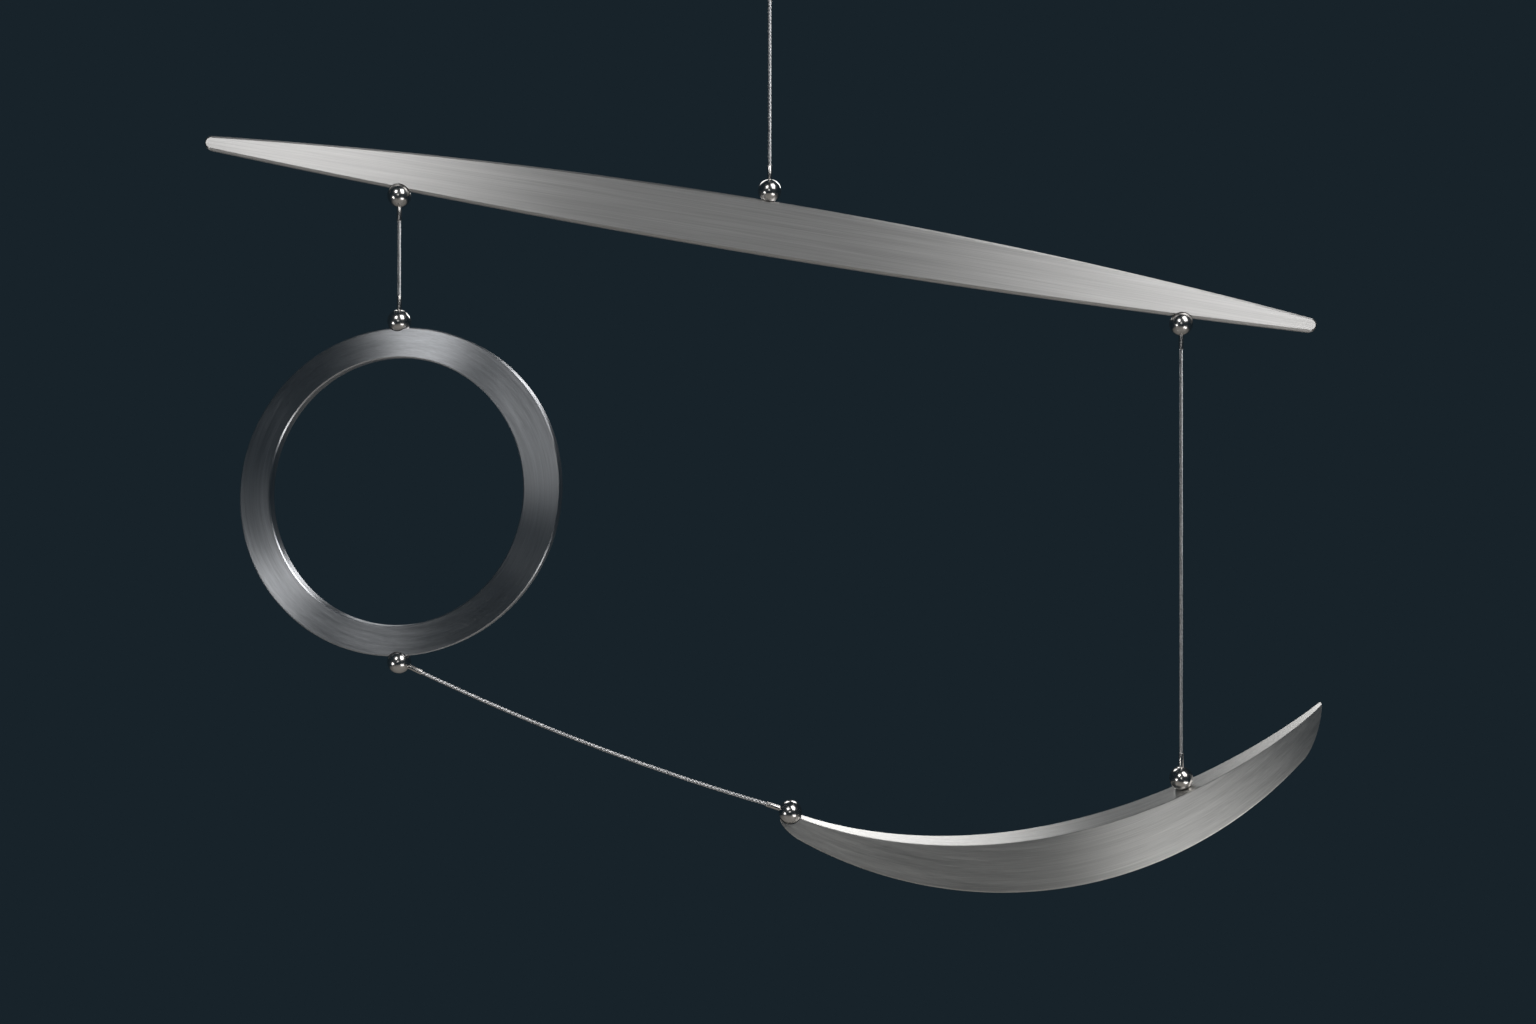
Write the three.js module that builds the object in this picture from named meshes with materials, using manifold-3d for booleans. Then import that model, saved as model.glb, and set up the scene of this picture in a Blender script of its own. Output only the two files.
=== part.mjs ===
// A hanging mobile in stainless steel. A curved bar hangs on a wire rope from a small ceiling disc.
// It carries a flat ring at its left and a crescent at its right, each on a rope of its own, and a
// slack rope links the ring's foot to the crescent's left tip. Each rope ends in a ferrule, in a
// polished ball that sits in a seat in the edge of the piece it holds.
//
// Millimetres, +X to the right, +Z up, and the front faces -Y. The origin is the middle of the
// ceiling disc's top face, and all the ropes and balls lie in the plane Y = 0.
import * as THREE from "three";
import { mergeVertices } from "three/addons/utils/BufferGeometryUtils.js";
import Module from "manifold-3d";

const wasm = await Module();
wasm.setup();

// Driving dimensions
const GAP = 0.3; // between pieces that touch
const BALL_RADIUS = 6.2;
const BALL_SIDES = 20;
const FERRULE = { radius: 1.3, from: 4.7, to: 13.4, edge: 0.3 }; // from and to: from the ball's centre
const ROPE_RADIUS = 0.95;
const ROPE_SIDES = 8;
const RING_ROPE_X = -196.3;
const CRESCENT_ROPE_X = 218.1;

const DISC = { radius: 18, thickness: 3, edge: 0.6, screwRadius: 1.7, screwFromCentre: 12 };
const BAR = {
  leftEnd: [-295.2, -98.4], // centre of the left round end, in X and Z
  span: 588.9, // between the centres of the two round ends
  slope: 9.41, // degrees, down to the right
  endRadius: 3.75,
  riseAbove: 18.1, // highest point of the top edge over the line between the ends
  dropBelow: 10.7, // lowest point of the bottom edge under it
  thickness: 5,
  chamfer: 1.1,
};
const RING = {
  centre: [-195.6, -283.1],
  outside: { x: 0, z: 0, long: 88.3, short: 84.8, tilt: 48 }, // half axes, and the long one's tilt in degrees
  hole: { x: -1.6, z: 0.2, long: 71.2, short: 68, tilt: 72 },
  thickness: 6.8,
  chamfer: 0.6,
  turn: 4.2, // degrees, right side forward
};
const CRESCENT = {
  left: 5.4, // X of the tips
  right: 292.3,
  keel: { x: 121.4, z: -273.5, radius: 220.7 }, // the circle that the bottom edge follows
  topAtLeft: -450, // Z of the top's middle line at the tips
  topAtRight: -394.6,
  topSag: 40.3, // of that line under the straight line between the tips
  fullness: 0.91, // of that line: 1 is a parabola, less is rounder
  leftNose: 10.2, // lengths over which the tips are rounded
  rightNose: 9.3,
  depth: 12, // front to back where it is deepest
  tipDepth: 2.6,
  bellyShift: 1.34, // over 1 moves the deepest place to the right of the middle
  bellyFullness: 0.63, // less keeps it deep for longer
  topSlope: 0.33, // the top falls towards the front, in mm for each mm
  chamfer: 0.7,
  sections: 44,
};

// Each rope end: the ball's centre in X and Z, and the rope's direction from it in degrees from +X.
const ENDS = {
  ceiling: { at: [0, -8], towards: -90 },
  bar_top: { at: [0, -123.5], towards: 90 },
  bar_left: { at: [RING_ROPE_X, -126], towards: -90 },
  bar_right: { at: [CRESCENT_ROPE_X, -193.9], towards: -90 },
  ring_top: { at: [RING_ROPE_X, -192.6], towards: 90 },
  ring_bottom: { at: [RING_ROPE_X, -373], towards: -25.4 },
  crescent_left: { at: [10.9, -452.4], towards: 162 },
  crescent_top: { at: [CRESCENT_ROPE_X, -434.7], towards: 90 },
};

// The slack rope's way from the ring to the crescent, in X and Z, between the ends of its ferrules.
const LINK_ROUTE = [
  [-183.9, -378.9],
  [-170.9, -384.9],
  [-157.9, -390.8],
  [-144.9, -396.5],
  [-132.0, -402.0],
  [-119.0, -407.4],
  [-106.0, -412.6],
  [-93.0, -417.6],
  [-80.0, -422.5],
  [-67.0, -427.2],
  [-54.0, -431.7],
  [-41.1, -436.1],
  [-28.1, -440.3],
  [-15.1, -444.3],
  [-2.1, -448.2],
];

const STEEL = {
  brushed: { color: 0xb3b1ad, roughness: 0.34, metalness: 1 },
  polished: { color: 0x9b9a99, roughness: 0.06, metalness: 1 },
  rope: { color: 0x8b8f92, roughness: 0.42, metalness: 1 },
};

const radians = THREE.MathUtils.degToRad;
const inPlane = ([x, z]) => new THREE.Vector3(x, 0, z);

function mesh(name, geometry, finish) {
  const made = new THREE.Mesh(geometry, new THREE.MeshStandardMaterial(STEEL[finish]));
  made.name = name;
  return made;
}

// A closed geometry as a solid, its shared points merged and the faces that this flattens left out.
function solidOf(geometry) {
  const bare = geometry.clone();
  bare.deleteAttribute("normal");
  bare.deleteAttribute("uv");
  const merged = mergeVertices(bare, 1e-4);
  const corners = merged.index.array;
  const faces = [];
  for (let i = 0; i < corners.length; i += 3) {
    const face = corners.slice(i, i + 3);
    if (new Set(face).size === 3) faces.push(...face);
  }
  const vertProperties = merged.attributes.position.array;
  return new wasm.Manifold(new wasm.Mesh({ numProp: 3, vertProperties, triVerts: new Uint32Array(faces) }));
}

function geometryOf(solid) {
  const { vertProperties, triVerts } = solid.getMesh();
  const geometry = new THREE.BufferGeometry();
  geometry.setAttribute("position", new THREE.BufferAttribute(vertProperties, 3));
  geometry.setIndex(new THREE.BufferAttribute(triVerts, 1));
  geometry.computeVertexNormals();
  return geometry;
}

// A sphere whose poles lie along Z.
const sphere = (radius) =>
  new THREE.SphereGeometry(radius, BALL_SIDES, BALL_SIDES / 2).rotateX(Math.PI / 2);

// An upright plate with chamfered edges: the outline in X and Z, the thickness shared to both sides of Y = 0.
function plate(outline, { thickness, chamfer }, curveSegments) {
  const geometry = new THREE.ExtrudeGeometry(outline, {
    depth: thickness - 2 * chamfer,
    bevelThickness: chamfer,
    bevelSize: chamfer,
    bevelOffset: -chamfer,
    bevelSegments: 1,
    curveSegments,
  });
  return geometry.translate(0, 0, chamfer - thickness / 2).rotateX(Math.PI / 2);
}

// The plate or block in holder's own frame, with a round seat cut into it for the ball of each end named.
function seated(geometry, holder, ends) {
  holder.updateMatrixWorld(true);
  let solid = solidOf(geometry);
  for (const end of ends) {
    const { x, y, z } = holder.worldToLocal(inPlane(ENDS[end].at));
    solid = solid.subtract(solidOf(sphere(BALL_RADIUS + GAP).translate(x, y, z)));
  }
  return geometryOf(solid);
}

// The ceiling disc: chamfered below, flat above, with two screw holes.
function ceilingDisc() {
  const { radius, thickness, edge, screwRadius, screwFromCentre } = DISC;
  const profile = [
    [0, 0],
    [0, -thickness],
    [radius - edge, -thickness],
    [radius, edge - thickness],
    [radius, 0],
    [0, 0],
  ].map(([r, z]) => new THREE.Vector2(r, z));
  const disc = new THREE.LatheGeometry(profile, 48).rotateX(Math.PI / 2);
  let solid = solidOf(disc);
  for (const side of [-1, 1]) {
    const hole = new THREE.CylinderGeometry(screwRadius, screwRadius, 3 * thickness, 20);
    solid = solid.subtract(solidOf(hole.rotateX(Math.PI / 2).translate(side * screwFromCentre, 0, 0)));
  }
  const group = new THREE.Group();
  group.add(mesh("ceiling_disc", seated(geometryOf(solid), group, ["ceiling"]), "brushed"));
  return group;
}

// The bar: two long flat curves between round ends.
function bar() {
  const { leftEnd, span, slope, endRadius, riseAbove, dropBelow } = BAR;
  const outline = new THREE.Shape();
  outline.absarc(0, 0, endRadius, Math.PI / 2, 1.5 * Math.PI);
  outline.quadraticCurveTo(span / 2, endRadius - 2 * dropBelow, span, -endRadius);
  outline.absarc(span, 0, endRadius, -Math.PI / 2, Math.PI / 2);
  outline.quadraticCurveTo(span / 2, 2 * riseAbove - endRadius, 0, endRadius);
  const group = new THREE.Group();
  group.position.copy(inPlane(leftEnd));
  group.rotation.y = radians(slope);
  const seats = ["bar_top", "bar_left", "bar_right"];
  group.add(mesh("bar", seated(plate(outline, BAR, 20), group, seats), "brushed"));
  return group;
}

// The ring: a flat band, a little oval inside and out, turned slightly about its own rope.
function ring() {
  const { centre, outside, hole, turn } = RING;
  const oval = (path, { x, z, long, short, tilt }, clockwise) =>
    path.absellipse(x, z, long, short, 0, 2 * Math.PI, clockwise, radians(tilt));
  const outline = oval(new THREE.Shape(), outside, false);
  outline.holes.push(oval(new THREE.Path(), hole, true));
  const group = new THREE.Group();
  group.position.copy(inPlane(centre));
  group.rotation.z = radians(-turn);
  group.add(mesh("ring", seated(plate(outline, RING, 40), group, ["ring_top", "ring_bottom"]), "brushed"));
  return group;
}

// Where the crescent's top line and keel lie at a share s of its length, and how deep it is there.
function crescentAt(s) {
  const { left, right, keel, topAtLeft, topAtRight, topSag, fullness } = CRESCENT;
  const { leftNose, rightNose, depth, tipDepth, bellyShift, bellyFullness } = CRESCENT;
  const x = left + (right - left) * s;
  const line = topAtLeft + (topAtRight - topAtLeft) * s - topSag * (4 * s * (1 - s)) ** fullness;
  const bottom = keel.z - Math.sqrt(keel.radius ** 2 - (x - keel.x) ** 2);
  const rounded = (reach) => Math.sqrt(1 - (1 - Math.min(reach, 1)) ** 2);
  const atLeft = rounded((x - left) / leftNose);
  const atRight = rounded((right - x) / rightNose);
  const full = line - bottom;
  const top = line - (full * (1 - atLeft)) / 2; // the left tip is rounded above and below
  const height = full * atLeft * atRight; // and the right one from below
  const belly = Math.sin(Math.PI * s ** bellyShift) ** bellyFullness;
  const y = (tipDepth + (depth - tipDepth) * belly) / 2;
  return { x, top, bottom: top - height, y };
}

// The crescent: a boat-shaped block, a lens seen from above, lofted through sections across its length.
function crescent() {
  const { topSlope, chamfer, sections } = CRESCENT;
  const points = [];
  for (let i = 0; i <= sections; i += 1) {
    const nearTip = 0.0006;
    const s = nearTip + (1 - 2 * nearTip) * (0.5 - 0.5 * Math.cos((Math.PI * i) / sections));
    const { x, top, bottom, y } = crescentAt(s);
    const cut = Math.min(chamfer, (top - bottom) / 4, y / 3);
    points.push(
      [x, -y, top - topSlope * y],
      [x, y, top + topSlope * y],
      [x, y, bottom + cut],
      [x, y - cut, bottom],
      [x, cut - y, bottom],
      [x, -y, bottom + cut],
    );
  }
  const around = points.length / (sections + 1);
  const faces = [];
  for (let i = 0; i < sections; i += 1) {
    for (let j = 0; j < around; j += 1) {
      const a = i * around + j;
      const b = i * around + ((j + 1) % around);
      faces.push(a, a + around, b, b, a + around, b + around);
    }
  }
  const last = sections * around;
  for (let j = 1; j < around - 1; j += 1) {
    faces.push(0, j, j + 1, last, last + j + 1, last + j);
  }
  const geometry = new THREE.BufferGeometry();
  geometry.setAttribute("position", new THREE.Float32BufferAttribute(points.flat(), 3));
  geometry.setIndex(faces);
  const group = new THREE.Group();
  group.add(mesh("crescent", seated(geometry, group, ["crescent_left", "crescent_top"]), "brushed"));
  return group;
}

// A ball with a blind hole along +Z, and the ferrule that stands in it.
function ropeEnd(name, { at, towards }) {
  const { radius, from, to, edge } = FERRULE;
  const hole = new THREE.CylinderGeometry(radius + GAP, radius + GAP, BALL_RADIUS, 12);
  hole.rotateX(Math.PI / 2).translate(0, 0, from - GAP + BALL_RADIUS / 2);
  const ball = geometryOf(solidOf(sphere(BALL_RADIUS)).subtract(solidOf(hole)));
  const profile = [
    [0, from],
    [radius, from],
    [radius, to - edge],
    [radius - edge, to],
    [0, to],
  ].map(([r, z]) => new THREE.Vector2(r, z));
  const ferrule = new THREE.LatheGeometry(profile, 12).rotateX(Math.PI / 2);
  const group = new THREE.Group();
  group.position.copy(inPlane(at));
  group.rotation.y = radians(90 - towards);
  group.add(mesh(`${name}_ball`, ball, "polished"));
  group.add(mesh(`${name}_ferrule`, ferrule, "polished"));
  return group;
}

// The point just past an end's ferrule, where its rope begins.
function ropeStart(end) {
  const { at, towards } = ENDS[end];
  const reach = FERRULE.to + GAP;
  const angle = radians(towards);
  return inPlane([at[0] + reach * Math.cos(angle), at[1] + reach * Math.sin(angle)]);
}

function rope(name, route, steps) {
  const corners = Array.from({ length: ROPE_SIDES }, (_, i) => {
    const angle = (2 * Math.PI * i) / ROPE_SIDES;
    return new THREE.Vector2(ROPE_RADIUS * Math.cos(angle), ROPE_RADIUS * Math.sin(angle));
  });
  const section = new THREE.Shape(corners);
  return mesh(name, new THREE.ExtrudeGeometry(section, { steps, extrudePath: route }), "rope");
}

const tautRope = (name, upper, lower) =>
  rope(name, new THREE.LineCurve3(ropeStart(upper), ropeStart(lower)), 4);

const mobile = new THREE.Group();
mobile.add(ceilingDisc(), bar(), ring(), crescent());
for (const [name, end] of Object.entries(ENDS)) mobile.add(ropeEnd(name, end));
mobile.add(
  tautRope("main_cable", "ceiling", "bar_top"),
  tautRope("ring_cable", "bar_left", "ring_top"),
  tautRope("crescent_cable", "bar_right", "crescent_top"),
  rope("link_cable", new THREE.CatmullRomCurve3(LINK_ROUTE.map(inPlane)), 44),
);

export default mobile;
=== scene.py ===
"""A hanging mobile in stainless steel: a brushed bar, ring and crescent on wire ropes with ball ends."""

import math

import bpy
from mathutils import Matrix, Vector


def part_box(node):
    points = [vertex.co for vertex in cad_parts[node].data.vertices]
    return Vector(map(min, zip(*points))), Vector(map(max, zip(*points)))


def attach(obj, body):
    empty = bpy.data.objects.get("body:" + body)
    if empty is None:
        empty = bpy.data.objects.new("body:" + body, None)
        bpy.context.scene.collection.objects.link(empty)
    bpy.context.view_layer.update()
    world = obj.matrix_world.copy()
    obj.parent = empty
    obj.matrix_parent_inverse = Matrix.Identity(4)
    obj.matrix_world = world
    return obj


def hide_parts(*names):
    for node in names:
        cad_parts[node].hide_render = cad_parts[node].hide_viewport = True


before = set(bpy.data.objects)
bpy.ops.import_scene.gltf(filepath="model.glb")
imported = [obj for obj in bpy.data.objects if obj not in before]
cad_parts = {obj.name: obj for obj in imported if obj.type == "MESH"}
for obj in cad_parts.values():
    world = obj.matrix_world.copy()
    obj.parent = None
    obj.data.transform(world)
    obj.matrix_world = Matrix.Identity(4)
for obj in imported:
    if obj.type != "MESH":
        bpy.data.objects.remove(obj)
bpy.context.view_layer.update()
bpy.ops.object.select_all(action="DESELECT")

# The camera stands level with the middle of the mobile and looks straight at it, from a little
# under a metre away, so that it sees the bar from just below and the crescent from just above.
CAMERA_AT = (-0.00085, -0.79147, -0.29362)
camera = bpy.data.objects.new("camera", bpy.data.cameras.new("camera"))
camera.data.lens = 35
camera.data.sensor_width = 36
camera.data.clip_start = 0.01
camera.location = CAMERA_AT
camera.rotation_euler = (math.pi / 2, 0, 0)
bpy.context.collection.objects.link(camera)
bpy.context.scene.camera = camera

# The four wire ropes, 1.9 mm, laid up from six strands of fine stainless wire. Three hang plumb,
# pulled tight by what they carry, and the fourth is slack and sags from the ring to the crescent.
# A ferrule is swaged on each end, with the rope a little way up its bore.
ROPE_RADIUS = 0.00095
ROPE_LAY = 0.0124  # the length in which a strand goes once round
STRANDS = 6
WIRES_SHOWN = 3  # wires of a strand that show on the outside
STEPS_A_TURN = 20
STRAND_CENTRE = 2 / 3  # shares of the rope's radius, as are the three below
STRAND_RADIUS = 1 / 3
STRAND_CORE = 0.74  # as deep as the grooves between strands go
WIRE_GROOVE = 0.07
ROPE_SMOOTH_ANGLE = math.radians(50)
GUIDE_RESOLUTION = 24
GUIDE_STEPS = 16  # on a plumb rope
INTO_FERRULE = 0.0022
FERRULE_FROM = 0.0047  # from the ball's centre
FERRULE_TO = 0.0134
TOWARDS = {  # the rope's direction out of each ball, in degrees from +X towards +Z
    "ceiling": -90,
    "bar_top": 90,
    "bar_left": -90,
    "bar_right": -90,
    "ring_top": 90,
    "ring_bottom": -25.4,
    "crescent_left": 162,
    "crescent_top": 90,
}
LINK_ROUTE = [  # X and Z of the slack rope between its two ferrules
    (-0.1839, -0.3789),
    (-0.1709, -0.3849),
    (-0.1579, -0.3908),
    (-0.1449, -0.3965),
    (-0.1320, -0.4020),
    (-0.1190, -0.4074),
    (-0.1060, -0.4126),
    (-0.0930, -0.4176),
    (-0.0800, -0.4225),
    (-0.0670, -0.4272),
    (-0.0540, -0.4317),
    (-0.0411, -0.4361),
    (-0.0281, -0.4403),
    (-0.0151, -0.4443),
    (-0.0021, -0.4482),
]


def middle(node):
    low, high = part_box(node)
    return (Vector(low) + Vector(high)) / 2


def direction(end):
    angle = math.radians(TOWARDS[end])
    return Vector((math.cos(angle), 0, math.sin(angle)))


def ball_centre(end):
    return middle(f"{end}_ferrule") - direction(end) * (FERRULE_FROM + FERRULE_TO) / 2


def only(piece):
    bpy.ops.object.select_all(action="DESELECT")
    piece.select_set(True)
    bpy.context.view_layer.objects.active = piece


def named(name):
    piece = bpy.context.object
    piece.name = piece.data.name = name
    return piece


def modify(piece, kind, **settings):
    only(piece)
    modifier = piece.modifiers.new(kind.lower(), kind)
    for key, value in settings.items():
        setattr(modifier, key, value)
    bpy.ops.object.modifier_apply(modifier=modifier.name)


def edit(piece, *steps):
    only(piece)
    bpy.ops.object.mode_set(mode="EDIT")
    for step in steps:
        step()
    bpy.ops.object.mode_set(mode="OBJECT")


def close_ends():
    bpy.ops.mesh.select_all(action="SELECT")
    bpy.ops.mesh.fill_holes(sides=0)


def face_outwards():
    bpy.ops.mesh.select_all(action="SELECT")
    bpy.ops.mesh.normals_make_consistent(inside=False)


def rope_outline(angle):
    """How far the rope reaches at an angle round it, as a share of its radius."""
    in_strand = angle % (2 * math.pi / STRANDS) - math.pi / STRANDS
    across = STRAND_CENTRE * math.sin(in_strand)
    strand = STRAND_CENTRE * math.cos(in_strand) + math.sqrt(max(STRAND_RADIUS**2 - across**2, 0))
    wire = abs(math.sin(STRANDS * WIRES_SHOWN * angle / 2))
    return max(strand, STRAND_CORE) - WIRE_GROOVE * (1 - wire)


def wire_rope(name, route):
    length = sum((b - a).length for a, b in zip(route, route[1:]))
    turns = length / ROPE_LAY
    bpy.ops.mesh.primitive_circle_add(vertices=4 * STRANDS * WIRES_SHOWN, radius=ROPE_RADIUS)
    rope = named(name)
    for vertex in rope.data.vertices:
        vertex.co *= rope_outline(math.atan2(vertex.co.y, vertex.co.x))
    steps = round(turns * STEPS_A_TURN)
    modify(
        rope,
        "SCREW",
        angle=2 * math.pi * turns,
        screw_offset=length,
        steps=steps,
        render_steps=steps,
    )
    edit(rope, close_ends, face_outwards)
    guide = bpy.data.curves.new("guide", "CURVE")
    guide.dimensions = "3D"
    guide.resolution_u = GUIDE_RESOLUTION
    spline = guide.splines.new("BEZIER")
    spline.bezier_points.add(len(route) - 1)
    for point, place in zip(spline.bezier_points, route):
        point.co = place
        point.handle_left_type = point.handle_right_type = "AUTO"
    guide = bpy.data.objects.new("guide", guide)
    bpy.context.collection.objects.link(guide)
    modify(rope, "CURVE", object=guide, deform_axis="POS_Z")
    bpy.data.objects.remove(guide)
    only(rope)
    bpy.ops.object.shade_smooth_by_angle(angle=ROPE_SMOOTH_ANGLE)
    return rope, length


def in_ferrule(end):
    return ball_centre(end) + direction(end) * (FERRULE_TO - INTO_FERRULE)


ropes = []
link_way = [Vector((x, 0, z)) for x, z in LINK_ROUTE]
for name, upper, lower, between, lay in (
    ("main", "ceiling", "bar_top", [], "taut"),
    ("ring", "bar_left", "ring_top", [], "taut"),
    ("crescent", "bar_right", "crescent_top", [], "taut"),
    ("link", "ring_bottom", "crescent_left", link_way, "hanging"),
):
    route = [in_ferrule(upper), *between, in_ferrule(lower)]
    if not between:
        shares = [step / GUIDE_STEPS for step in range(1, GUIDE_STEPS)]
        route[1:1] = [route[0].lerp(route[1], share) for share in shares]
    rope, length = wire_rope(f"{name}_rope", route)
    ropes.append(rope)
    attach(rope, "root")
    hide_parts(f"{name}_cable")

# The finish of the ropes: drawn stainless wire, lighter and darker by turns along it with the
# handling and dust it has had.


def new_material(name):
    material = bpy.data.materials.new(name)
    material.use_nodes = True
    return material, material.node_tree.nodes, material.node_tree.links


def steel_shader(nodes, colour, roughness):
    shader = nodes["Principled BSDF"]
    shader.inputs["Base Color"].default_value = (*colour, 1)
    shader.inputs["Metallic"].default_value = 1
    shader.inputs["Roughness"].default_value = roughness
    return shader


def wire_steel():
    material, nodes, links = new_material("drawn_wire_steel")
    shader = steel_shader(nodes, (0.58, 0.58, 0.585), 0.3)
    place = nodes.new("ShaderNodeTexCoord")
    dust = nodes.new("ShaderNodeTexNoise")
    dust.inputs["Scale"].default_value = 900
    dust.inputs["Detail"].default_value = 3
    tint = nodes.new("ShaderNodeValToRGB")
    tint.color_ramp.elements[0].color = (0.42, 0.42, 0.43, 1)
    tint.color_ramp.elements[0].position = 0.3
    tint.color_ramp.elements[1].color = (0.66, 0.66, 0.66, 1)
    tint.color_ramp.elements[1].position = 0.7
    links.new(place.outputs["Object"], dust.inputs["Vector"])
    links.new(dust.outputs["Fac"], tint.inputs["Fac"])
    links.new(tint.outputs["Color"], shader.inputs["Base Color"])
    return material


rope_steel = wire_steel()
for rope in ropes:
    rope.data.materials.append(rope_steel)

# The eight rope ends: a solid 12.4 mm stainless ball, polished to a soft shine, with a blind hole
# in which the ferrule stands. The ferrule is a thin polished tube, swaged on the rope.
BALL_RADIUS = 0.0062
BALL_HOLE_ANGLE = math.radians(15)  # from the pole: it makes the hole 3.2 mm across
BALL_SEGMENTS = 64
BALL_RINGS = 36
BALL_HOLE_GAP = 0.0003  # under the foot of the ferrule
HOLE_LIP = 0.0002
FERRULE_RADIUS = 0.0013
FERRULE_BORE = 0.00098
FERRULE_BORE_DEPTH = 0.003
FERRULE_EDGE = 0.00018
FERRULE_SIDES = 48
BALL_HAZE = (0.17, 0.24)  # roughness, lowest and highest


def pick(piece, wanted):
    """Selects the faces whose middle is wanted, and nothing else."""
    bpy.ops.object.mode_set(mode="OBJECT")
    for edge in piece.data.edges:
        edge.select = False
    for vertex in piece.data.vertices:
        vertex.select = False
    for face in piece.data.polygons:
        face.select = wanted(face)
    bpy.ops.object.mode_set(mode="EDIT")


def ball(name):
    bpy.ops.mesh.primitive_uv_sphere_add(
        segments=BALL_SEGMENTS, ring_count=BALL_RINGS, radius=BALL_RADIUS
    )
    piece = named(name)
    top = BALL_RADIUS * math.cos(BALL_HOLE_ANGLE)
    sunk = FERRULE_FROM - BALL_HOLE_GAP - top
    only(piece)
    bpy.ops.object.mode_set(mode="EDIT")
    bpy.ops.mesh.select_mode(type="FACE")
    pick(piece, lambda face: face.center.z > top)
    bpy.ops.mesh.dissolve_faces()
    bpy.ops.mesh.inset(thickness=HOLE_LIP / 2)
    bpy.ops.transform.translate(value=(0, 0, -HOLE_LIP / 2))
    bpy.ops.mesh.inset(thickness=HOLE_LIP / 4)
    bpy.ops.transform.translate(value=(0, 0, -HOLE_LIP))
    bpy.ops.mesh.extrude_region_move(TRANSFORM_OT_translate={"value": (0, 0, sunk)})
    bpy.ops.object.mode_set(mode="OBJECT")
    bpy.ops.object.shade_smooth_by_angle(angle=math.radians(35))
    return piece


def ferrule(name):
    length = FERRULE_TO - FERRULE_FROM
    middle_height = (FERRULE_TO + FERRULE_FROM) / 2
    bpy.ops.mesh.primitive_cylinder_add(
        vertices=FERRULE_SIDES, radius=FERRULE_RADIUS, depth=length, location=(0, 0, middle_height)
    )
    piece = named(name)
    bpy.ops.object.transform_apply(location=True)
    bpy.ops.object.mode_set(mode="EDIT")
    bpy.ops.mesh.select_mode(type="FACE")
    pick(piece, lambda face: face.center.z > FERRULE_TO - 1e-6)
    bpy.ops.mesh.inset(thickness=FERRULE_RADIUS - FERRULE_BORE)
    bpy.ops.mesh.extrude_region_move(TRANSFORM_OT_translate={"value": (0, 0, -FERRULE_BORE_DEPTH)})
    bpy.ops.object.mode_set(mode="OBJECT")
    modify(
        piece,
        "BEVEL",
        width=FERRULE_EDGE,
        segments=3,
        limit_method="ANGLE",
        angle_limit=math.radians(60),
    )
    bpy.ops.object.shade_smooth_by_angle(angle=math.radians(40))
    return piece


polished = []
for end in TOWARDS:
    turn = direction(end).to_track_quat("Z", "Y").to_matrix().to_4x4()
    place = Matrix.Translation(ball_centre(end)) @ turn
    for kind, made in (
        ("ball", ball(f"{end}_polished_ball")),
        ("ferrule", ferrule(f"{end}_swaged_ferrule")),
    ):
        made.data.transform(place)
        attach(made, "root")
        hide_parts(f"{end}_{kind}")
        polished.append(made)


def polished_steel():
    material, nodes, links = new_material("polished_ball_steel")
    shader = steel_shader(nodes, (0.62, 0.6, 0.58), 0.2)
    place = nodes.new("ShaderNodeTexCoord")
    haze = nodes.new("ShaderNodeTexNoise")
    haze.inputs["Scale"].default_value = 260
    haze.inputs["Detail"].default_value = 4
    spread = nodes.new("ShaderNodeMapRange")
    spread.inputs["To Min"].default_value = BALL_HAZE[0]
    spread.inputs["To Max"].default_value = BALL_HAZE[1]
    links.new(place.outputs["Object"], haze.inputs["Vector"])
    links.new(haze.outputs["Fac"], spread.inputs["Value"])
    links.new(spread.outputs["Result"], shader.inputs["Roughness"])
    return material


mirror_steel = polished_steel()
for piece in polished:
    piece.data.materials.append(mirror_steel)

# The bar: laser-cut 5 mm stainless plate, 0.6 m long, with long flat curves above and below, round
# ends, machine-chamfered edges, and its faces brushed along its length. A round seat is milled in
# its edge for each of three balls.
BAR_LEFT_END = (-0.2952, -0.0984)
BAR_SPAN = 0.5889
BAR_SLOPE = math.radians(9.41)
BAR_END_RADIUS = 0.00375
BAR_RISE = 0.0181
BAR_DROP = 0.0107
BAR_THICKNESS = 0.005
BAR_CHAMFER = 0.0011
ARRIS = 0.00014  # the fine rounding that deburring leaves on a sharp edge
ARRIS_ANGLE = math.radians(30)  # edges sharper than this get it
SEAT_GAP = 0.0003
SEAT_SEGMENTS = 96
PLATE_RESOLUTION = 48
QUARTER = 4 / 3 * (math.sqrt(2) - 1)  # handle length of a quarter circle of radius 1


def plate(name, outlines, thickness, chamfer):
    """A plate with chamfered edges, from closed outlines of (point, handle before, handle after)."""
    curve = bpy.data.curves.new(name, "CURVE")
    curve.dimensions = "2D"
    curve.fill_mode = "BOTH"
    curve.resolution_u = PLATE_RESOLUTION
    curve.extrude = thickness / 2 - chamfer
    curve.bevel_depth = chamfer
    curve.bevel_resolution = 0
    curve.offset = -chamfer
    for outline in outlines:
        spline = curve.splines.new("BEZIER")
        spline.use_cyclic_u = True
        spline.bezier_points.add(len(outline) - 1)
        for point, (at, before, after) in zip(spline.bezier_points, outline):
            point.handle_left_type = point.handle_right_type = "FREE"
            point.co = (*at, 0)
            point.handle_left = (*before, 0)
            point.handle_right = (*after, 0)
    piece = bpy.data.objects.new(name, curve)
    bpy.context.collection.objects.link(piece)
    only(piece)
    bpy.ops.object.convert(target="MESH")
    piece = named(name)
    edit(
        piece,
        lambda: bpy.ops.mesh.select_all(action="SELECT"),
        lambda: bpy.ops.mesh.remove_doubles(threshold=1e-6),
        lambda: bpy.ops.mesh.dissolve_limited(angle_limit=math.radians(0.05)),
        face_outwards,
    )
    return piece


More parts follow.
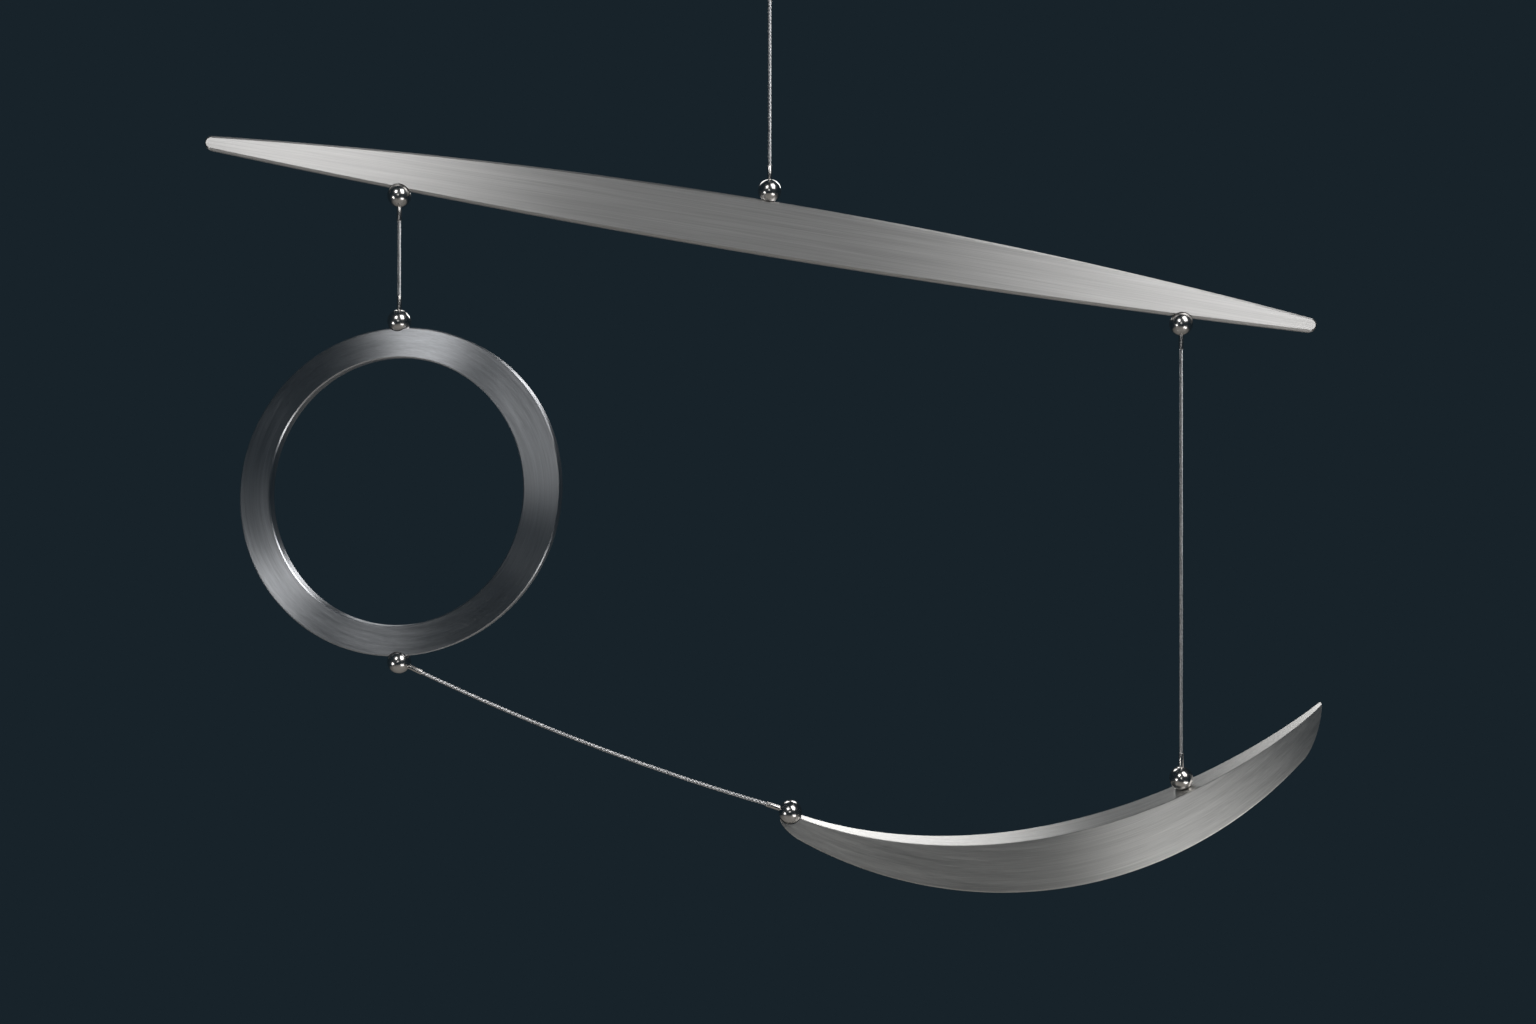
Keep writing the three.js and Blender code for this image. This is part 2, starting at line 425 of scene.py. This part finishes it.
def cut_seats(piece, ends):
    for end in ends:
        bpy.ops.mesh.primitive_uv_sphere_add(
            segments=SEAT_SEGMENTS,
            ring_count=SEAT_SEGMENTS // 2,
            radius=BALL_RADIUS + SEAT_GAP,
            location=ball_centre(end),
        )
        cutter = bpy.context.object
        modify(piece, "BOOLEAN", operation="DIFFERENCE", solver="EXACT", object=cutter)
        bpy.data.objects.remove(cutter)


def finish_edges(piece):
    modify(
        piece,
        "BEVEL",
        width=ARRIS,
        segments=2,
        limit_method="ANGLE",
        angle_limit=ARRIS_ANGLE,
        use_clamp_overlap=True,
    )
    bpy.ops.object.shade_smooth_by_angle(angle=math.radians(40))
    modify(piece, "WEIGHTED_NORMAL", keep_sharp=True)


def bar_outline():
    r, k, span = BAR_END_RADIUS, BAR_END_RADIUS * QUARTER, BAR_SPAN
    under = Vector((span / 2, r - 2 * BAR_DROP))
    over = Vector((span / 2, 2 * BAR_RISE - r))

    def towards(point, control):
        return Vector(point).lerp(control, 2 / 3)

    return [
        ((-r, 0), (-r, k), (-r, -k)),
        ((0, -r), (-k, -r), towards((0, -r), under)),
        ((span, -r), towards((span, -r), under), (span + k, -r)),
        ((span + r, 0), (span + r, -k), (span + r, k)),
        ((span, r), (span + k, r), towards((span, r), over)),
        ((0, r), towards((0, r), over), (-k, r)),
    ]


UPRIGHT = Matrix.Rotation(math.pi / 2, 4, "X")
bar = plate("brushed_bar", [bar_outline()], BAR_THICKNESS, BAR_CHAMFER)
bar_start = Matrix.Translation((BAR_LEFT_END[0], 0, BAR_LEFT_END[1]))
bar_place = bar_start @ Matrix.Rotation(BAR_SLOPE, 4, "Y")
bar.data.transform(bar_place @ UPRIGHT)
cut_seats(bar, ["bar_top", "bar_left", "bar_right"])
finish_edges(bar)
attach(bar, "root")
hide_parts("bar")


def brushing_group():
    """Fine streaks that follow the brushing round a centre, from Object coordinates less that centre."""
    group = bpy.data.node_groups.new("brushing", "ShaderNodeTree")
    put = group.interface.new_socket
    put("From Centre", in_out="INPUT", socket_type="NodeSocketVector")
    for name, value in (("Streak Length", 0.03), ("Streak Width", 0.0005)):
        put(name, in_out="INPUT", socket_type="NodeSocketFloat").default_value = value
    put("Streaks", in_out="OUTPUT", socket_type="NodeSocketFloat")
    nodes, links = group.nodes, group.links
    given = nodes.new("NodeGroupInput")
    put_out = nodes.new("NodeGroupOutput")

    def math_node(kind, a, b=None):
        node = nodes.new("ShaderNodeMath")
        node.operation = kind
        for socket, value in zip(node.inputs, (a, b)):
            if isinstance(value, (int, float)):
                socket.default_value = value
            elif value is not None:
                links.new(value, socket)
        return node.outputs["Value"]

    apart = nodes.new("ShaderNodeSeparateXYZ")
    links.new(given.outputs["From Centre"], apart.inputs["Vector"])
    x, y, z = (apart.outputs[axis] for axis in "XYZ")
    squares = math_node("ADD", math_node("MULTIPLY", x, x), math_node("MULTIPLY", z, z))
    across = math_node("SQRT", squares)
    length, width = given.outputs["Streak Length"], given.outputs["Streak Width"]
    combined = nodes.new("ShaderNodeCombineXYZ")
    links.new(math_node("DIVIDE", x, length), combined.inputs["X"])
    links.new(math_node("DIVIDE", z, length), combined.inputs["Z"])
    links.new(math_node("DIVIDE", across, width), combined.inputs["Y"])
    noise = nodes.new("ShaderNodeTexNoise")
    noise.noise_dimensions = "4D"
    noise.inputs["Scale"].default_value = 1
    noise.inputs["Detail"].default_value = 2
    noise.inputs["Roughness"].default_value = 0.6
    links.new(combined.outputs["Vector"], noise.inputs["Vector"])
    links.new(math_node("DIVIDE", y, width), noise.inputs["W"])
    links.new(noise.outputs["Fac"], put_out.inputs["Streaks"])
    return group


brushing = brushing_group()
FINE_STREAKS = {"length": 0.05, "width": 0.0003, "low": 0.86, "high": 1.1}
BROAD_STREAKS = {"length": 0.16, "width": 0.0016, "low": 0.93, "high": 1.06}
STREAK_DEPTH = 0.00001
ROUGHNESS_SWING = 0.02


def brushed_steel(name, centre, colour, roughness, anisotropy):
    material, nodes, links = new_material(name)
    shader = steel_shader(nodes, colour, roughness)
    shader.inputs["Anisotropic"].default_value = anisotropy
    shader.inputs["Anisotropic Rotation"].default_value = 0.25
    place = nodes.new("ShaderNodeTexCoord")
    from_centre = nodes.new("ShaderNodeVectorMath")
    from_centre.operation = "SUBTRACT"
    from_centre.inputs[1].default_value = centre
    links.new(place.outputs["Object"], from_centre.inputs[0])
    along = nodes.new("ShaderNodeVectorMath")
    along.operation = "CROSS_PRODUCT"
    along.inputs[1].default_value = (0, 1, 0)
    links.new(from_centre.outputs["Vector"], along.inputs[0])
    unit = nodes.new("ShaderNodeVectorMath")
    unit.operation = "NORMALIZE"
    links.new(along.outputs["Vector"], unit.inputs[0])
    links.new(unit.outputs["Vector"], shader.inputs["Tangent"])

    def streaks(length, width, low, high):
        node = nodes.new("ShaderNodeGroup")
        node.node_tree = brushing
        node.inputs["Streak Length"].default_value = length
        node.inputs["Streak Width"].default_value = width
        links.new(from_centre.outputs["Vector"], node.inputs["From Centre"])
        spread = nodes.new("ShaderNodeMapRange")
        spread.inputs["From Min"].default_value = 0.3
        spread.inputs["From Max"].default_value = 0.7
        spread.inputs["To Min"].default_value = low
        spread.inputs["To Max"].default_value = high
        links.new(node.outputs["Streaks"], spread.inputs["Value"])
        return node.outputs["Streaks"], spread.outputs["Result"]

    fine, fine_light = streaks(**FINE_STREAKS)
    broad, broad_light = streaks(**BROAD_STREAKS)
    both = nodes.new("ShaderNodeMath")
    both.operation = "MULTIPLY"
    links.new(fine_light, both.inputs[0])
    links.new(broad_light, both.inputs[1])
    tint = nodes.new("ShaderNodeMix")
    tint.data_type = "RGBA"
    tint.blend_type = "MULTIPLY"
    tint.inputs["Factor"].default_value = 1
    tint.inputs["A"].default_value = (*colour, 1)
    links.new(both.outputs["Value"], tint.inputs["B"])
    links.new(tint.outputs["Result"], shader.inputs["Base Color"])
    rough = nodes.new("ShaderNodeMapRange")
    rough.inputs["From Min"].default_value = 0.3
    rough.inputs["From Max"].default_value = 0.7
    rough.inputs["To Min"].default_value = roughness - ROUGHNESS_SWING
    rough.inputs["To Max"].default_value = roughness + ROUGHNESS_SWING
    links.new(broad, rough.inputs["Value"])
    links.new(rough.outputs["Result"], shader.inputs["Roughness"])
    bump = nodes.new("ShaderNodeBump")
    bump.inputs["Strength"].default_value = 0.5
    bump.inputs["Distance"].default_value = STREAK_DEPTH
    links.new(fine, bump.inputs["Height"])
    links.new(bump.outputs["Normal"], shader.inputs["Normal"])
    return material


BAR_BOW = 40.0  # radius of the bar's brushing lines: all but straight
bar_middle = bar_place @ Vector((BAR_SPAN / 2, 0, 0))
bar_up = bar_place.to_3x3() @ Vector((0, 0, 1))
bar.data.materials.append(
    brushed_steel("bar_brushed_steel", bar_middle - bar_up * BAR_BOW, (0.6, 0.59, 0.58), 0.42, 0.8)
)

# The ring: a flat band cut from 6.8 mm stainless plate, a little oval inside and out, brushed
# round its circumference, with lightly chamfered edges and a seat above and below for a ball.
RING_CENTRE = (-0.1956, 0, -0.2831)
RING_THICKNESS = 0.0068
RING_CHAMFER = 0.0006
RING_TURN = math.radians(4.2)  # right side forward
RING_OUTSIDE = {"at": (0, 0), "long": 0.0883, "short": 0.0848, "tilt": math.radians(48)}
RING_HOLE = {"at": (-0.0016, 0.0002), "long": 0.0712, "short": 0.068, "tilt": math.radians(72)}


def oval(at, long, short, tilt):
    turn = Matrix.Rotation(tilt, 2)
    points = []
    for quarter in range(4):
        angle = quarter * math.pi / 2
        out = Vector((round(math.cos(angle)), round(math.sin(angle))))
        onward = Vector((-out.y, out.x)) * QUARTER
        points.append(
            tuple(
                Vector(at) + turn @ Vector((p.x * long, p.y * short))
                for p in (out, out - onward, out + onward)
            )
        )
    return points


ring = plate("brushed_ring", [oval(**RING_OUTSIDE), oval(**RING_HOLE)], RING_THICKNESS, RING_CHAMFER)
ring.data.transform(Matrix.Translation(RING_CENTRE) @ Matrix.Rotation(-RING_TURN, 4, "Z") @ UPRIGHT)
cut_seats(ring, ["ring_top", "ring_bottom"])
finish_edges(ring)
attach(ring, "root")
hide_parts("ring")
ring.data.materials.append(
    brushed_steel("ring_brushed_steel", RING_CENTRE, (0.55, 0.56, 0.58), 0.3, 0.85)
)

# The crescent: a boat-shaped block milled from stainless bar, a lens seen from above, with a top
# that falls towards the front, brushed along its length. The seats for its two balls are milled
# in the left tip and in the top.
CRESCENT_LEFT = 0.0054
CRESCENT_RIGHT = 0.2923
KEEL = {"x": 0.1214, "z": -0.2735, "radius": 0.2207}  # the circle of the bottom edge
TOP_AT_LEFT = -0.45
TOP_AT_RIGHT = -0.3946
TOP_SAG = 0.0403
TOP_FULLNESS = 0.91
LEFT_NOSE = 0.0102
RIGHT_NOSE = 0.0093
DEPTH = 0.012
TIP_DEPTH = 0.0026
BELLY_SHIFT = 1.34
BELLY_FULLNESS = 0.63
TOP_SLOPE = 0.33
TOP_ARRIS = 0.0003
BOTTOM_EASE = 0.0009
CRESCENT_STATIONS = 140
CORNER_POINTS = 4


def crescent_section(s):
    """The points round the crescent at a share s of its length, each corner eased by a short curve."""
    x = CRESCENT_LEFT + (CRESCENT_RIGHT - CRESCENT_LEFT) * s
    line = TOP_AT_LEFT + (TOP_AT_RIGHT - TOP_AT_LEFT) * s - TOP_SAG * (4 * s * (1 - s)) ** TOP_FULLNESS
    keel = KEEL["z"] - math.sqrt(KEEL["radius"] ** 2 - (x - KEEL["x"]) ** 2)

    def rounded(reach):
        return math.sqrt(1 - (1 - min(reach, 1)) ** 2)

    at_left = rounded((x - CRESCENT_LEFT) / LEFT_NOSE)
    at_right = rounded((CRESCENT_RIGHT - x) / RIGHT_NOSE)
    full = line - keel
    top = line - full * (1 - at_left) / 2
    bottom = top - full * at_left * at_right
    belly = math.sin(math.pi * s**BELLY_SHIFT) ** BELLY_FULLNESS
    y = (TIP_DEPTH + (DEPTH - TIP_DEPTH) * belly) / 2
    low = Vector((0, -TOP_SLOPE * y))
    most = min((top - bottom) / 3, y / 2)
    corners = [
        (Vector((-y, top)) + low, TOP_ARRIS),
        (Vector((y, top)) - low, TOP_ARRIS),
        (Vector((y, bottom)), BOTTOM_EASE),
        (Vector((-y, bottom)), BOTTOM_EASE),
    ]
    outline = []
    for i, (corner, ease) in enumerate(corners):
        before, after = corners[i - 1][0], corners[(i + 1) % 4][0]
        start = corner + (before - corner).normalized() * min(ease, most)
        end = corner + (after - corner).normalized() * min(ease, most)
        for step in range(CORNER_POINTS):
            t = step / (CORNER_POINTS - 1)
            outline.append(start.lerp(corner, t).lerp(corner.lerp(end, t), t))
    outline.append(outline[0])
    return [(x, point.x, point.y) for point in outline]


around = 4 * CORNER_POINTS
bpy.ops.mesh.primitive_grid_add(x_subdivisions=CRESCENT_STATIONS, y_subdivisions=around, size=1)
crescent = named("brushed_crescent")
for vertex in crescent.data.vertices:
    station, step = vertex.co.x + 0.5, round((vertex.co.y + 0.5) * around)
    share = 0.5 - 0.4995 * math.cos(math.pi * station)
    vertex.co = crescent_section(share)[step]
edit(
    crescent,
    lambda: bpy.ops.mesh.select_all(action="SELECT"),
    lambda: bpy.ops.mesh.remove_doubles(threshold=1e-6),
    close_ends,
    face_outwards,
)
cut_seats(crescent, ["crescent_left", "crescent_top"])
only(crescent)
bpy.ops.object.shade_smooth_by_angle(angle=math.radians(40))
modify(crescent, "WEIGHTED_NORMAL", keep_sharp=True)
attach(crescent, "root")
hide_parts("crescent")
CRESCENT_BOW = (0.1172, 0, -0.2586)  # the centre that its brushing lines run round
crescent.data.materials.append(
    brushed_steel("crescent_brushed_steel", CRESCENT_BOW, (0.66, 0.65, 0.63), 0.34, 0.8)
)

# The ceiling disc: a turned stainless disc, 36 mm across and 3 mm thick, with a chamfered lower
# edge, two screw holes and a round seat in the middle for the top ball.
DISC_RADIUS = 0.018
DISC_THICKNESS = 0.003
DISC_EDGE = 0.0006
DISC_SIDES = 128
SCREW_RADIUS = 0.0017
SCREW_FROM_CENTRE = 0.012
SCREW_SIDES = 48
DRILL_LENGTH = 0.02
bpy.ops.mesh.primitive_cylinder_add(
    vertices=DISC_SIDES,
    radius=DISC_RADIUS,
    depth=DISC_THICKNESS,
    location=(0, 0, -DISC_THICKNESS / 2),
)
disc = named("turned_ceiling_disc")
bpy.ops.object.transform_apply(location=True)
bpy.ops.object.mode_set(mode="EDIT")
bpy.ops.mesh.select_mode(type="FACE")
pick(disc, lambda face: face.center.z < -DISC_THICKNESS + 1e-6)
bpy.ops.mesh.bevel(offset=DISC_EDGE, segments=1, affect="EDGES")
bpy.ops.object.mode_set(mode="OBJECT")
for side in (-1, 1):
    bpy.ops.mesh.primitive_cylinder_add(
        vertices=SCREW_SIDES,
        radius=SCREW_RADIUS,
        depth=DRILL_LENGTH,
        location=(side * SCREW_FROM_CENTRE, 0, 0),
    )
    drill = bpy.context.object
    modify(disc, "BOOLEAN", operation="DIFFERENCE", solver="EXACT", object=drill)
    bpy.data.objects.remove(drill)
cut_seats(disc, ["ceiling"])
finish_edges(disc)
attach(disc, "root")
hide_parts("ceiling_disc")


def turned_steel():
    material, nodes, links = new_material("turned_disc_steel")
    shader = steel_shader(nodes, (0.6, 0.59, 0.58), 0.35)
    place = nodes.new("ShaderNodeTexCoord")
    rings = nodes.new("ShaderNodeTexWave")
    rings.wave_type = "RINGS"
    rings.rings_direction = "Z"
    rings.inputs["Scale"].default_value = 900
    rings.inputs["Distortion"].default_value = 1.5
    spread = nodes.new("ShaderNodeMapRange")
    spread.inputs["To Min"].default_value = 0.3
    spread.inputs["To Max"].default_value = 0.42
    links.new(place.outputs["Object"], rings.inputs["Vector"])
    links.new(rings.outputs["Fac"], spread.inputs["Value"])
    links.new(spread.outputs["Result"], shader.inputs["Roughness"])
    return material


disc.data.materials.append(turned_steel())

# The studio: a plain pale floor well below the mobile, two soft boxes high in front, three small
# ones that fill in from below and ahead, two behind, and a dim room that keeps the contrast.
FLOOR_AT = -1.3
FLOOR_RADIUS = 1.9
LIGHT_DISTANCE = 1.6
ROOM = (0.0091, 0.0168, 0.0232, 1)
MIDDLE = Vector((0, 0, -0.3))
bpy.ops.mesh.primitive_circle_add(
    vertices=96, radius=FLOOR_RADIUS, fill_type="NGON", location=(0, 0, FLOOR_AT)
)
floor = named("studio_floor")
material, nodes, links = new_material("floor_paint")
nodes["Principled BSDF"].inputs["Base Color"].default_value = (0.62, 0.59, 0.55, 1)
nodes["Principled BSDF"].inputs["Roughness"].default_value = 0.8
floor.data.materials.append(material)


def soft_box(name, towards, width, height, power):
    light = bpy.data.objects.new(name, bpy.data.lights.new(name, "AREA"))
    light.data.shape = "RECTANGLE"
    light.data.size = width
    light.data.size_y = height
    light.data.energy = power
    light.visible_camera = False
    light.location = MIDDLE + Vector(towards).normalized() * LIGHT_DISTANCE
    light.rotation_euler = Vector(towards).to_track_quat("Z", "Y").to_euler()
    bpy.context.collection.objects.link(light)


soft_box("left_soft_box", (-0.38, -0.76, 0.56), width=0.4, height=0.5, power=4.2)
soft_box("right_soft_box", (0.5, -0.58, 0.68), width=0.7, height=1.1, power=12.5)
soft_box("low_right_box", (0.52, -0.57, -0.64), width=0.8, height=0.65, power=6.5)
soft_box("low_left_box", (-0.79, -0.55, -0.26), width=0.3, height=0.3, power=2.4)
soft_box("front_box", (-0.09, -0.99, 0.09), width=0.28, height=0.28, power=0.5)
soft_box("left_back_box", (-0.3, 0.75, 0.75), width=0.6, height=0.6, power=3)
soft_box("right_back_box", (0.32, 0.8, 0.6), width=0.6, height=0.6, power=4.5)

world = bpy.data.worlds.new("room")
bpy.context.scene.world = world
world.use_nodes = True
world.node_tree.nodes["Background"].inputs["Color"].default_value = ROOM
bpy.context.scene.view_settings.view_transform = "Standard"
